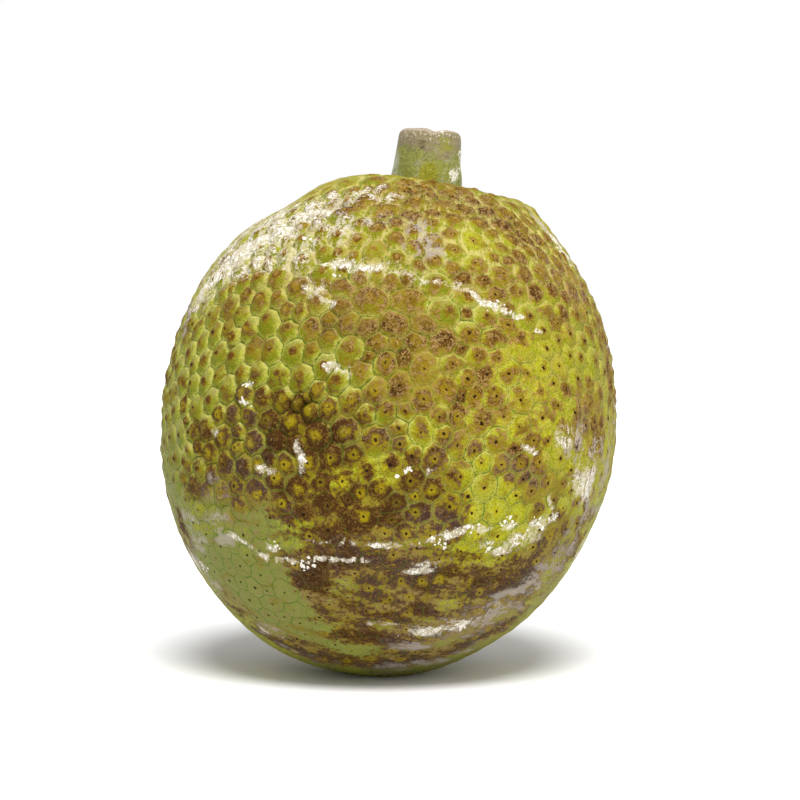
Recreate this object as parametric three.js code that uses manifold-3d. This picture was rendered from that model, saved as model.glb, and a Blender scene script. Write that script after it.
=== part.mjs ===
// A breadfruit on the cut stub of its stalk, standing on the small flat spot it rests on.
// Millimetres, +Z up, front towards -Y. The origin is the middle of the flat spot.
// The pieces are the fruit, one grown body, and the stalk, whose foot sits in the fruit's crown.

import * as THREE from "three";
import { mergeVertices } from "three/addons/utils/BufferGeometryUtils.js";
import Module from "manifold-3d";

const wasm = await Module();
wasm.setup();

// Driving dimensions of the fruit, in millimetres and degrees.
const HALF_LENGTH = 73.6; // middle to stalk end, before the crown is flattened
const HALF_WIDTH = 65.2;
const LEAN_RIGHT = 11; // how far the stalk end leans towards +X
const LEAN_BACK = 3; // how far it leans towards +Y
const REST_RADIUS = 10; // of the flat spot underneath

// The crown: a flat top that ends in a shoulder, with a shallow basin round the stalk.
const CROWN_DROP = 2.6;
const CROWN_ANGLE = 17.5; // from the fruit's axis to the shoulder
const CROWN_SHARPNESS = 5; // exponent of the fall at the shoulder
const BASIN_DEPTH = 2.2;
const BASIN_RADIUS = 12;

// Swellings and hollows of the grown body. Around is degrees about the fruit's axis, from +X
// towards +Y, and down is degrees from the stalk end, both to the middle of the lump. Tall and
// wide are degrees from there to where it has fallen to a third.
const LUMPS = [
  { name: "right shoulder", around: 0, down: 25, tall: 6, wide: 14, height: 1.5 },
  { name: "left edge of the crown", around: 180, down: 20, tall: 8, wide: 15, height: -1.6 },
  { name: "left shoulder", around: 180, down: 40, tall: 9, wide: 28, height: -2.1 },
  { name: "left flank", around: 180, down: 60, tall: 14, wide: 25, height: 0.6 },
  { name: "right waist", around: 0, down: 60, tall: 22, wide: 25, height: -0.5 },
  { name: "front belly", around: 275, down: 75, tall: 28, wide: 30, height: 0.5 },
  { name: "back shoulder", around: 120, down: 55, tall: 20, wide: 24, height: 0.9 },
  { name: "back hollow", around: 70, down: 95, tall: 22, wide: 30, height: -0.8 },
  { name: "back foot", around: 130, down: 122, tall: 20, wide: 28, height: 0.8 },
];

// The stalk, a stub that stands nearly upright.
const STALK_LENGTH = 21.2;
const STALK_FOOT_RADIUS = 10.2;
const STALK_WAIST_RADIUS = 9.6;
const STALK_TOP_RADIUS = 8.9;
const STALK_WAIST_DOWN = 8; // from the cut end to the waist
const STALK_SINK = 4.6; // how deep its foot sits below the middle of the crown
const STALK_SHIFT = -1.4; // from the fruit's axis, along X
const RIM_ROUND = 1.8; // rounding of the cut end
const RIM_DIP = 0.7; // how far the cut end is sunk inside its rim
const GAP = 0.3; // between the stalk's foot and its socket

// How finely the round shapes are divided.
const FRUIT_AROUND = 64;
const FRUIT_RINGS = 38;
const STALK_AROUND = 40;
const ARC_STEPS = 5;

const radians = THREE.MathUtils.degToRad;
const degrees = THREE.MathUtils.radToDeg;

const rind = new THREE.MeshStandardMaterial({ color: 0x8f8a3a, roughness: 0.62, metalness: 0 });
const bark = new THREE.MeshStandardMaterial({ color: 0x7d7848, roughness: 0.7, metalness: 0 });

// The fall of a soft bump: 1 in its middle and a third at its spread.
function fall(distance, spread, sharpness = 2) {
  return Math.exp(-((Math.abs(distance) / spread) ** sharpness));
}

// How far a lump lifts the skin at a place that is around and down degrees on the fruit.
function lumpHeight(lump, around, down) {
  const turned = ((around - lump.around + 540) % 360) - 180;
  const aside = turned * Math.sin(radians(down));
  return lump.height * fall(down - lump.down, lump.tall) * fall(aside, lump.wide);
}

// The point of the fruit's skin that lies towards a unit direction, in the fruit's own frame,
// with +Z towards the stalk end.
function skinPoint(towards) {
  const down = degrees(Math.acos(THREE.MathUtils.clamp(towards.z, -1, 1)));
  const around = degrees(Math.atan2(towards.y, towards.x)) + 360;
  const fromAxis = HALF_WIDTH * Math.hypot(towards.x, towards.y);
  const point = new THREE.Vector3(HALF_WIDTH, HALF_WIDTH, HALF_LENGTH).multiply(towards);
  if (towards.z > 0) {
    point.z -= CROWN_DROP * fall(down, CROWN_ANGLE, CROWN_SHARPNESS);
    point.z -= BASIN_DEPTH * fall(fromAxis, BASIN_RADIUS);
  }
  for (const lump of LUMPS) {
    point.addScaledVector(towards, lumpHeight(lump, around, down));
  }
  return point;
}

// A three.js geometry as a solid that can be cut.
function solidOf(geometry) {
  const bare = geometry.clone();
  bare.deleteAttribute("normal");
  bare.deleteAttribute("uv");
  const merged = mergeVertices(bare, 1e-4);
  return new wasm.Manifold(new wasm.Mesh({
    numProp: 3,
    vertProperties: new Float32Array(merged.attributes.position.array),
    triVerts: new Uint32Array(merged.index.array),
  }));
}

// A solid as a three.js geometry that can be drawn.
function geometryOf(solid) {
  const { vertProperties, triVerts } = solid.getMesh();
  const geometry = new THREE.BufferGeometry();
  geometry.setAttribute("position", new THREE.BufferAttribute(vertProperties, 3));
  geometry.setIndex(new THREE.BufferAttribute(triVerts, 1));
  geometry.computeVertexNormals();
  return geometry;
}

// How the fruit stands: its own +Z leans right and back.
const lean = new THREE.Matrix4()
  .makeRotationX(-radians(LEAN_BACK))
  .multiply(new THREE.Matrix4().makeRotationY(radians(LEAN_RIGHT)));

// Where the middle of the leaning fruit lies, so that the ground cuts it in a spot of
// REST_RADIUS whose own middle is the origin.
function fruitMiddle() {
  const axis = new THREE.Vector3(0, 0, 1).applyMatrix4(lean);
  const across = HALF_WIDTH ** 2;
  const along = HALF_LENGTH ** 2 - across;
  const reach = Math.sqrt(across + along * axis.z ** 2);
  const lowest = axis.clone().multiplyScalar(along * axis.z);
  lowest.z += across;
  lowest.divideScalar(-reach);
  const spot = (REST_RADIUS ** 2 * reach) / (HALF_LENGTH * across);
  return lowest.multiplyScalar(-Math.sqrt(1 - spot));
}

const middle = fruitMiddle();

// The middle of the crown, where the stalk grows.
const crown = skinPoint(new THREE.Vector3(0, 0, 1)).applyMatrix4(lean).add(middle);
const stalkFoot = new THREE.Vector3(crown.x + STALK_SHIFT, crown.y, crown.z - STALK_SINK);

// The whole grown body before it is cut, turned on a lathe and then swelled by its lumps.
function grownBody() {
  const outline = [];
  for (let i = 0; i <= FRUIT_RINGS; i++) {
    const down = (Math.PI * (FRUIT_RINGS - i)) / FRUIT_RINGS;
    const onAxis = i === 0 || i === FRUIT_RINGS;
    outline.push(new THREE.Vector2(onAxis ? 0 : Math.sin(down), Math.cos(down)));
  }
  const body = new THREE.LatheGeometry(outline, FRUIT_AROUND).rotateX(Math.PI / 2);
  const places = body.attributes.position;
  const towards = new THREE.Vector3();
  for (let i = 0; i < places.count; i++) {
    towards.fromBufferAttribute(places, i).normalize();
    places.setXYZ(i, ...skinPoint(towards).toArray());
  }
  return body.applyMatrix4(lean).translate(...middle.toArray());
}

function makeFruit() {
  const room = 2 * HALF_LENGTH;
  const ground = new THREE.BoxGeometry(room, room, room).translate(0, 0, -room / 2);
  const socketRadius = STALK_FOOT_RADIUS + GAP;
  const socket = new THREE.CylinderGeometry(socketRadius, socketRadius, STALK_LENGTH, STALK_AROUND)
    .rotateX(Math.PI / 2)
    .translate(stalkFoot.x, stalkFoot.y, stalkFoot.z - GAP + STALK_LENGTH / 2);
  const cut = solidOf(grownBody()).subtract(solidOf(ground)).subtract(solidOf(socket));
  const fruit = new THREE.Mesh(geometryOf(cut), rind);
  fruit.name = "fruit";
  return fruit;
}

// The stalk's outline runs from the middle of its foot, up its side, over its rounded rim and
// down into the dip of the cut end.
function makeStalk() {
  const outline = [new THREE.Vector2(0, 0), new THREE.Vector2(STALK_FOOT_RADIUS, 0)];
  outline.push(new THREE.Vector2(STALK_FOOT_RADIUS, STALK_SINK));
  outline.push(new THREE.Vector2(STALK_WAIST_RADIUS, STALK_LENGTH - STALK_WAIST_DOWN));
  const shaft = STALK_LENGTH - RIM_ROUND;
  for (let i = 0; i <= ARC_STEPS; i++) {
    const turn = (Math.PI / 2) * (i / ARC_STEPS);
    const across = STALK_TOP_RADIUS - RIM_ROUND * (1 - Math.cos(turn));
    outline.push(new THREE.Vector2(across, shaft + RIM_ROUND * Math.sin(turn)));
  }
  const inner = STALK_TOP_RADIUS - RIM_ROUND;
  outline.push(new THREE.Vector2(inner * 0.6, STALK_LENGTH - RIM_DIP));
  outline.push(new THREE.Vector2(0, STALK_LENGTH - RIM_DIP));
  const turned = new THREE.LatheGeometry(outline, STALK_AROUND).rotateX(Math.PI / 2);
  const stalk = new THREE.Mesh(turned, bark);
  stalk.name = "stalk";
  stalk.position.copy(stalkFoot);
  return stalk;
}

const breadfruit = new THREE.Group();
breadfruit.name = "breadfruit";
breadfruit.add(makeFruit(), makeStalk());

export default breadfruit;
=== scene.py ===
"""A breadfruit: a rind of raised florets, the cut stub of the stalk and crusts of dried latex.

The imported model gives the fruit's shape and place. Lengths are in metres, and MM turns
millimetres into them. Turn and rise are degrees as seen from the fruit's middle: turn goes
from the front (-Y) towards the right (+X), and rise goes up from level.
"""

import math
import random

import bmesh
import bpy
from bpy.props import FloatProperty, FloatVectorProperty, IntProperty, PointerProperty
from mathutils import Matrix, Vector, noise
from mathutils.bvhtree import BVHTree


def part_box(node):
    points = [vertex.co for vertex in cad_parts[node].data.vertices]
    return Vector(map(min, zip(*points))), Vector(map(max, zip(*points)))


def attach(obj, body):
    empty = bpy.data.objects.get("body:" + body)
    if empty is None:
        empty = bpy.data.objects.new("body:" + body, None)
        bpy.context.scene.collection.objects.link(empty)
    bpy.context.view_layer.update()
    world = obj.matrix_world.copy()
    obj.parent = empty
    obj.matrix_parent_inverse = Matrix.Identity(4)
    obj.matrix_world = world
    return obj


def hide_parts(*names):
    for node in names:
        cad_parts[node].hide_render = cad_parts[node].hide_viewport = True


bl_info = {
    "name": "Breadfruit",
    "version": (1, 0, 0),
    "blender": (4, 5, 0),
    "location": "View3D > Sidebar > Breadfruit",
    "description": "Grows a breadfruit's rind, stalk and dried latex round its packed model",
    "category": "Object",
}

MM = 0.001
UP = Vector((0, 0, 1))

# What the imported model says.
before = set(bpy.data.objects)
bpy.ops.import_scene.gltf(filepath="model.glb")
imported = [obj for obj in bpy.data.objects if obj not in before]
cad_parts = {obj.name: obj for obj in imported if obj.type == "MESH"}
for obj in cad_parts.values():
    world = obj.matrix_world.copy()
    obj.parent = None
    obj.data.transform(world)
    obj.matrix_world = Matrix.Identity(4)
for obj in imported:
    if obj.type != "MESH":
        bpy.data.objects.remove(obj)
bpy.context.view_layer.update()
FRUIT_LOW, FRUIT_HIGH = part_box("fruit")
STALK_LOW, STALK_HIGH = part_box("stalk")
MIDDLE = (FRUIT_LOW + FRUIT_HIGH) / 2
STALK_MIDDLE = (STALK_LOW + STALK_HIGH) / 2
STALK_RADIUS = (STALK_HIGH.x - STALK_LOW.x) / 2
HALF_WIDTH = (FRUIT_HIGH.x - FRUIT_LOW.x) / 2
HALF_LENGTH = (FRUIT_HIGH.z - FRUIT_LOW.z) / 2
AXIS = (Vector((STALK_MIDDLE.x, STALK_MIDDLE.y, FRUIT_HIGH.z)) - MIDDLE).normalized()
LEAN = UP.rotation_difference(AXIS)
SOCKET_GAP = 0.6 * MM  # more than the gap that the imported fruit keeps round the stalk
WALL_TILT = 0.3  # a face of the socket's wall points up or down by less than this


def srgb(hexadecimal):
    """A colour written as sRGB hex, as the linear numbers that Blender takes."""
    parts = [int(hexadecimal[i : i + 2], 16) / 255 for i in (1, 3, 5)]
    linear = [c / 12.92 if c <= 0.04045 else ((c + 0.055) / 1.055) ** 2.4 for c in parts]
    return (*linear, 1.0)


def length(name, description, millimetres):
    return FloatProperty(
        name=name,
        description=description,
        default=millimetres * MM,
        min=0.0,
        precision=4,
        subtype="DISTANCE",
        unit="LENGTH",
    )


def share(name, description, default):
    return FloatProperty(name=name, description=description, default=default, min=0.0, max=1.0)


def colour(name, description, hexadecimal):
    return FloatVectorProperty(
        name=name,
        description=description,
        default=srgb(hexadecimal),
        size=4,
        min=0.0,
        max=1.0,
        subtype="COLOR",
    )


def smooth(part):
    """Eased from 0 to 1."""
    s = min(max(part, 0.0), 1.0)
    return s * s * (3 - 2 * s)


class RindSettings(bpy.types.PropertyGroup):
    """Sizes and colours of the rind."""

    floret_width: length("Floret width", "Across one floret, middle to middle", 6.95)
    crowding: share("Crowding", "How much narrower florets are at both ends", 0.24)
    swell: length("Swell", "How high the tallest florets stand", 2.1)
    groove: length("Groove", "Depth of the groove between tall florets", 0.25)
    pit: length("Pit", "Depth of the dried stigma's pit", 0.35)
    seed: IntProperty(name="Seed", description="Start of the random draws", default=7)
    green: colour("Green", "The rind's own yellow green", "#9C9C10")
    lime: colour("Lime", "Bright middles of the sunlit florets", "#ACAE06")
    olive: colour("Olive", "Deeper green of older rind", "#807E08")
    grey_green: colour("Grey green", "Dull green of the shaded sides", "#757D3E")
    # Real deep green of the tall florets' sides, also used as painted shade on their lower slopes
    deep_green_and_shade: colour("Deep green", "Sides of the tall florets", "#6E7604")
    # Pale bloom: real waxy bloom on the florets' rims, and also painted light on the tall florets' upper
    # slopes and a painted highlight by the stigma
    bloom: colour("Bloom", "Waxy bloom on the florets' upper slopes", "#CCC484")
    net: colour("Net", "Pale borders along the line between florets", "#B8B84A")
    line_green: colour("Line green", "The line between florets", "#4C6A1E")
    glow: colour("Glow", "Yellow close round the stigma", "#C2AE00")
    areole: colour("Areole", "Brown spot round the stigma of a tall floret", "#5A3403")
    stigma: colour("Stigma", "The dried stigma's dot", "#241204")
    dust: colour("Dust", "Brown stipple on the crests of tall florets", "#8E7450")
    wash: colour("Wash", "Skin that is browning under its wax", "#7E6A08")
    russet: colour("Russet", "Thin cork stain", "#6A4A14")
    tan: colour("Tan", "Lighter scurf in the cork", "#AE8A3E")
    cork: colour("Cork", "Thick, old cork stain", "#402607")
    plum: colour("Plum", "Old cork with a purple cast", "#443230")
    wax: colour("Wax", "Cream wax between the florets of the crown", "#D2C27C")
    film: colour("Film", "Grey film of dried sap", "#B4AA9C")
    cream: colour("Cream", "Thin cream film round dried latex", "#D6CCB2")
    latex: colour("Latex", "White dried latex", "#ECE6DA")


class StalkSettings(bpy.types.PropertyGroup):
    """Sizes and colours of the stalk."""

    rim_round: length("Rim round", "Rounding of the cut end", 2.4)
    dip: length("Dip", "How far the cut end is sunk inside its rim", 0.8)
    lean: length("Lean", "How far the foot stands to the left of the cut end", 1.4)
    green: colour("Green", "Fresh skin low on the stalk", "#80823E")
    bright: colour("Bright", "Bare skin where the dust is rubbed off", "#807C00")
    dust: colour("Dust", "Grey brown skin near the cut", "#7E7256")
    haze: colour("Haze", "Pale bluish bloom along one side", "#BCC0AE")
    fleck: colour("Fleck", "Pinkish flecks in the dust", "#D2C4AE")
    cut: colour("Cut", "Dried wood of the cut end", "#A89884")
    wood: colour("Wood", "Dark fibres and pores", "#574A34")


class LatexSettings(bpy.types.PropertyGroup):
    """Sizes of the crusts of dried latex."""

    thickness: length("Thickness", "Height of a thick crust", 0.14)
    seed: IntProperty(name="Seed", description="Start of the random draws", default=3)


class StageSettings(bpy.types.PropertyGroup):
    """The floor, the light and the camera."""

    distance: length("Distance", "Camera to the fruit's middle", 900)
    height: FloatProperty(
        name="Height",
        description="How far the camera looks down",
        default=math.radians(4),
        subtype="ANGLE",
    )
    view_width: length("View width", "Width of the view at the fruit", 230)
    tent_light: share("Tent light", "How strongly the white tent lights the fruit", 0.44)


# ---------------------------------------------------------------- the skin


def toward(turn, rise):
    """Unit direction from the fruit's middle."""
    t, r = math.radians(turn), math.radians(rise)
    return Vector((math.sin(t) * math.cos(r), -math.cos(t) * math.cos(r), math.sin(r)))


def in_socket(face):
    """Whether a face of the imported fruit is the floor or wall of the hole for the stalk."""
    centre = face.calc_center_median()
    if centre.z < MIDDLE.z or (centre - STALK_MIDDLE).xy.length > STALK_RADIUS + SOCKET_GAP:
        return False
    return centre.z < STALK_LOW.z or abs(face.normal.z) < WALL_TILT


def smooth_skin():
    """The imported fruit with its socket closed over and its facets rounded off, ready for rays
    to be cast at it."""
    bm = bmesh.new()
    bm.from_mesh(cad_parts["fruit"].data)
    bmesh.ops.remove_doubles(bm, verts=bm.verts, dist=0.01 * MM)
    socket = [face for face in bm.faces if in_socket(face)]
    bmesh.ops.delete(bm, geom=socket, context="FACES")
    rim = [edge for edge in bm.edges if edge.is_boundary]
    bmesh.ops.triangle_fill(bm, edges=rim, use_beauty=True)
    bmesh.ops.subdivide_edges(bm, edges=bm.edges, cuts=1, smooth=1.0, use_grid_fill=True)
    tree = BVHTree.FromBMesh(bm)
    bm.free()
    return tree


SKIN = smooth_skin()


def lay(direction, height=0.0):
    """The point of the skin in a direction from the middle, raised by a height."""
    hit = SKIN.ray_cast(MIDDLE, direction)[0]
    return hit + direction * height


PATCH_REACH = 2.2  # of a patch's longer size, where it has faded out
PATCH_EDGE = 1.3  # power that makes a patch's edge firmer than a bell curve's


class Patch:
    """A soft-edged oval on the rind, with its sizes in millimetres and its slant in degrees."""

    def __init__(self, turn, rise, wide, tall, strength, slant=0.0):
        self.out = toward(turn, rise)
        self.middle = lay(self.out)
        right = Vector((math.cos(math.radians(turn)), math.sin(math.radians(turn)), 0))
        up = self.out.cross(right)
        s = math.radians(slant)
        self.along = (right * math.cos(s) + up * math.sin(s)) / (wide * MM)
        self.across = (up * math.cos(s) - right * math.sin(s)) / (tall * MM)
        self.reach = PATCH_REACH * max(wide, tall) * MM
        self.strength = strength

    def near(self, point, margin):
        return (point - self.middle).length < self.reach + margin

    def at(self, point):
        offset = point - self.middle
        if offset.length > self.reach:
            return 0.0
        away = offset.dot(self.along) ** 2 + offset.dot(self.across) ** 2
        return self.strength * math.exp(-(away**PATCH_EDGE))


def patches(*rows):
    return [Patch(*row) for row in rows]


# Where florets swell into tall knobs: turn, rise, wide, tall, strength and perhaps slant.
KNOBS = patches(
    # the crown and the upper sides
    (-48, 50, 26, 13, 0.45, 25),
    (-4, 68, 34, 12, 0.7),
    (40, 66, 22, 9, 0.5),
    # the left
    (-34, 18, 32, 26, 0.95),
    (-50, -8, 24, 11, 0.45),
    (-80, 10, 20, 28, 0.3),
    # the middle
    (-12, 42, 30, 17, 0.6, -8),
    (5, 22, 22, 22, 0.4),
    (-14, 7, 14, 9, 0.4),
    (20, -8, 26, 14, 0.14),
    # the right
    (35, 36, 30, 20, 0.28),
    (62, 20, 20, 30, 0.2),
    (74, 46, 16, 18, 0.25),
    # the back
    (125, 10, 38, 36, 0.75),
    (180, 45, 42, 24, 0.65),
    (-130, -20, 32, 28, 0.55),
    (-150, 35, 24, 24, 0.5),
)


def total(found, point, floor=0.0):
    return floor + sum(p.at(point) for p in found)


# ---------------------------------------------------------------- where the rind is marked

# Each row is turn, rise, wide, tall, strength and perhaps slant.
RUSSET = patches(
    # the crown and the upper sides
    (4, 54, 10, 5, 0.75),
    (12, 62, 22, 8, 0.6, -8),
    (12, 71, 26, 6, 0.55, -4),
    (30, 62, 12, 6, 0.55, -20),
    (44, 64, 14, 6, 0.6, -25),
    (48, 57, 12, 6, 0.85, -35),
    (58, 49, 11, 10, 0.9, -50),
    (14, 49, 8, 4, 0.6),
    (-19, 62, 4, 2.4, 1.8, 20),
    (-36, 57, 3, 2, 1.5, 10),
    (-26, 63, 3, 1.6, 1.5),
    (3, 58, 5, 2, 1.2, -10),
    # the left
    (-34, -4, 7, 4, 0.35),
    (-38, -9, 10, 7, 0.3),
    (-50, 1, 7, 6, 0.5),
    (-46, -6, 10, 8, 0.4),
    (-58, -12, 6, 6, 0.4),
    (-48, 0, 10, 7, 0.3),
    (-36, -6, 9, 6, 0.35),
    (-40, -10, 9, 6, 0.45),
    (-50, -9, 6, 6, 0.3),
    (-35, -14, 10, 8, 0.2),
    (-30, 33, 10, 4, 0.2, 20),
    (-42, 40, 14, 7, 0.14, 20),
    (-30, 25, 14, 5, 0.22, 10),
    (-44, 25, 12, 3, 0.2, 20),
    (-35, 10, 10, 6, 0.35),
    (-64, 8, 6, 6, 0.4),
    # the middle
    (-22, -2, 18, 12, 0.85),
    (-10, -14, 18, 12, 0.6),
    (-29, 1, 7, 6, 0.65),
    (-11, 1, 9, 5, 0.6),
    (-12, -4, 7, 3, 0.5, -5),
    (-14, -8, 6, 3, -0.4),
    (-22, -12, 8, 6, 0.35),
    (-29, -13, 6, 6, 0.4),
    (-8, -17, 11, 4, 0.65, -8),
    (-21, 5, 9, 4, 0.4),
    (-18, 0, 7, 6, 0.6),
    (1, -19, 9, 4, 0.3),
    (-14, 5, 8, 5, 0.4),
    (-5, 14, 6, 4, 0.25),
    (-28, 4, 14, 9, 0.6),
    (-21, 10, 8, 5, 0.35),
    (-12, 9, 8, 5, 0.25),
    (-5, 1, 10, 5, 0.4),
    (3, -17, 11, 6, 0.85),
    (13, -18, 9, 5, 0.8),
    (0, 27, 16, 7, 0.68, -8),
    (4, 19, 10, 5, 0.65),
    (4, 12, 12, 5, 0.65),
    (-22, 38, 14, 4, 0.45),
    (21, 19, 9, 9, 0.42),
    (12, 24, 12, 5, 0.42, -10),
    (-15, 27, 7, 4, 0.5, -10),
    (4, 37, 7, 4, 0.65),
    (29, 37, 9, 5, 0.8, -20),
    (-2, 34, 20, 7, 0.33),
    (14, 0, 15, 6, 0.5),
    (-28, 14, 8, 4, 0.2),
    (8, 6, 9, 5, 0.4),
    (13, 13, 14, 6, 0.3),
    (24, 11, 9, 7, 0.36, -10),
    (18, 6, 7, 5, 0.3, -30),
    (29, -2, 4, 4, 0.9),
    (8, -7, 9, 5, 0.95),
    (9, -12, 8, 5, 0.85),
    # the right
    (34, 25, 8, 4, 0.8, -10),
    (35, 40, 30, 9, 0.33, -12),
    (61, 38, 7, 6, 0.75, -60),
    (45, 35, 3, 3, 0.9),
    (52, 27, 4, 4, 0.8),
    (70, 33, 4, 8, 0.8),
    (78, 16, 6, 15, 0.75),
    (60, 2, 7, 14, 0.6),
    (44, 6, 8, 4, 0.35),
    (56, 4, 8, 5, 0.5),
    (60, -18, 14, 22, 0.42),
    (35, 14, 8, 3, 0.38, -10),
    (48, 11, 9, 3, 0.3),
    (37, -1, 4, 3, 0.7),
    (33, -7, 8, 4, 0.95, -20),
    (38, -12, 7, 4, 1.05, -50),
    (38, 0, 6, 5, 0.35),
    (52, 0, 6, 5, 0.35),
    (64, 0, 4, 6, 0.4),
    # low down
    (-14, -24, 7, 6, 0.5),
    (-42, -34, 14, 12, -0.3),
    (-24, -33, 5, 6, 0.5),
    (-12, -31, 10, 2.4, 0.8),
    (-22, -35, 5, 7, 1.1),
    (37, -36, 10, 6, 0.7),
    (50, -24, 5, 6, 0.7),
    (32, -29, 12, 5, -0.1),
    (40, -28, 8, 5, 0.2),
    (46, -31, 5, 8, 0.6, 10),
    (42, -37, 7, 3, 0.5, 15),
    (-17, -41, 7, 5, 0.35),
    (7, -41, 7, 5, 0.3),
    (35, -41, 7, 5, 0.4),
    (50, -41, 6, 5, 0.8),
    (-15, -29, 6, 5, 0.3),
    (7, -29, 7, 5, 0.3),
    (66, -29, 6, 6, 0.6),
    (50, -54, 9, 5, 0.8),
    (-72, -26, 6, 8, 0.6),
    (-2, -29, 30, 8, 0.5),
    (4, -39, 26, 9, 0.45),
    (8, -52, 28, 9, 0.5),
    (11, -38, 5, 4, 0.8, 30),
    (22, -34, 12, 4.5, 0.8),
    (-14, -43, 9, 3, 0.45, -10),
    (5, -43, 11, 4, 0.6, 10),
    (-13, -48, 7, 3, 0.6),
    (12, -53, 14, 4, 0.75, 8),
    (31, -46, 8, 3, 0.65, 10),
    (-5, -54, 9, 2.5, 0.7),
    (-5, -66, 34, 5, 1.15),
    (-42, -57, 12, 4, 1.0, -20),
    (-60, -45, 8, 5, 0.55, -30),
    # the back
    (105, 30, 14, 8, 0.55, -10),
    (118, 48, 12, 6, 0.65, 10),
    (135, 12, 12, 10, 0.55),
    (150, -8, 16, 8, 0.65),
    (165, 28, 12, 6, 0.55),
    (178, -2, 9, 7, 0.5),
    (-172, 52, 12, 6, 0.7),
    (-160, 12, 14, 8, 0.6),
    (-145, -16, 12, 8, 0.7),
    (-128, 24, 10, 7, 0.6),
    (-112, -6, 10, 9, 0.6),
    (-104, 44, 8, 5, 0.5),
    (110, -30, 18, 6, 0.65),
    (140, -42, 18, 5, 0.8),
    (175, -36, 20, 6, 0.7),
    (-150, -48, 16, 5, 0.8),
    (-115, -38, 14, 6, 0.65),
    (180, 68, 30, 7, 0.6),
    (100, -52, 14, 4, 0.7),
    (180, -48, 60, 10, 0.35),
    (140, 0, 40, 24, 0.25),
    (-140, 0, 40, 24, 0.25),
    (180, -70, 60, 8, 0.8),
    (125, 66, 14, 7, 0.6),
    (-140, 62, 14, 6, 0.55),
    (-95, 20, 8, 10, 0.5),
    (-92, -18, 10, 8, 0.55),
    (96, 8, 8, 12, 0.5),
    (160, 58, 10, 5, 0.6),
)
FILM = patches(
    # the crown and the upper sides
    (-60, 52, 14, 7, 0.8, 40),
    (-46, 60, 12, 4, 0.7, 25),
    (-80, 56, 14, 8, 0.7, 30),
    (-26, 66, 8, 4, 0.6, 10),
    (-24, 57, 12, 4, 0.8, 10),
    (80, 48, 3, 12, 0.95),
    (12, 53, 4.5, 4.5, 0.9),
    # the left
    (-68, 42, 10, 7, 0.85, 55),
    (-78, 30, 5, 10, 0.6),
    (-46, -12, 6, 8, 0.35),
    (-49, -22, 5, 9, 0.5, 30),
    # the middle
    (8, 47, 7, 2.5, 0.6, -5),
    (18, 46, 5, 1.8, 0.7, -20),
    # the right
    (86, 18, 6, 8, 0.6, 25),
    (81, 2, 4, 7, 0.6, -20),
    (62, -9, 8, 9, 0.55),
    (52, -3, 7, 6, 0.65),
    (72, -10, 6, 16, 0.45),
    (82, -22, 6, 8, 0.45, -25),
    # low down
    (-62, -24, 5, 7, 0.8, 30),
    (-68, -36, 5, 10, 0.7, 20),
    (60, -28, 9, 18, 0.42),
    (25, -50, 11, 4, 0.6, 10),
    (14, -57, 12, 4, 0.35),
    (38, -44, 12, 5, 0.5, 20),
    (30, -52, 12, 5, 0.4, 15),
    (45, -50, 8, 4, 0.5, 25),
    (52, -36, 6, 9, 0.5, 20),
    (-50, -52, 8, 4, 0.45, -25),
    # Grey film round the bottom: partly real dried sap, partly painted light on the shaded underside
    (0, -70, 40, 6, 0.4),
    # the back
    (-96, 40, 10, 16, 0.5),
    (128, 36, 6, 8, 0.65),
    (160, -18, 10, 5, 0.7),
    (-165, 34, 9, 4, 0.7),
    (-120, 6, 5, 9, 0.65),
    (-140, -36, 12, 5, 0.7),
    (115, -12, 5, 9, 0.65),
    (180, -62, 40, 6, 0.5),
)
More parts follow.
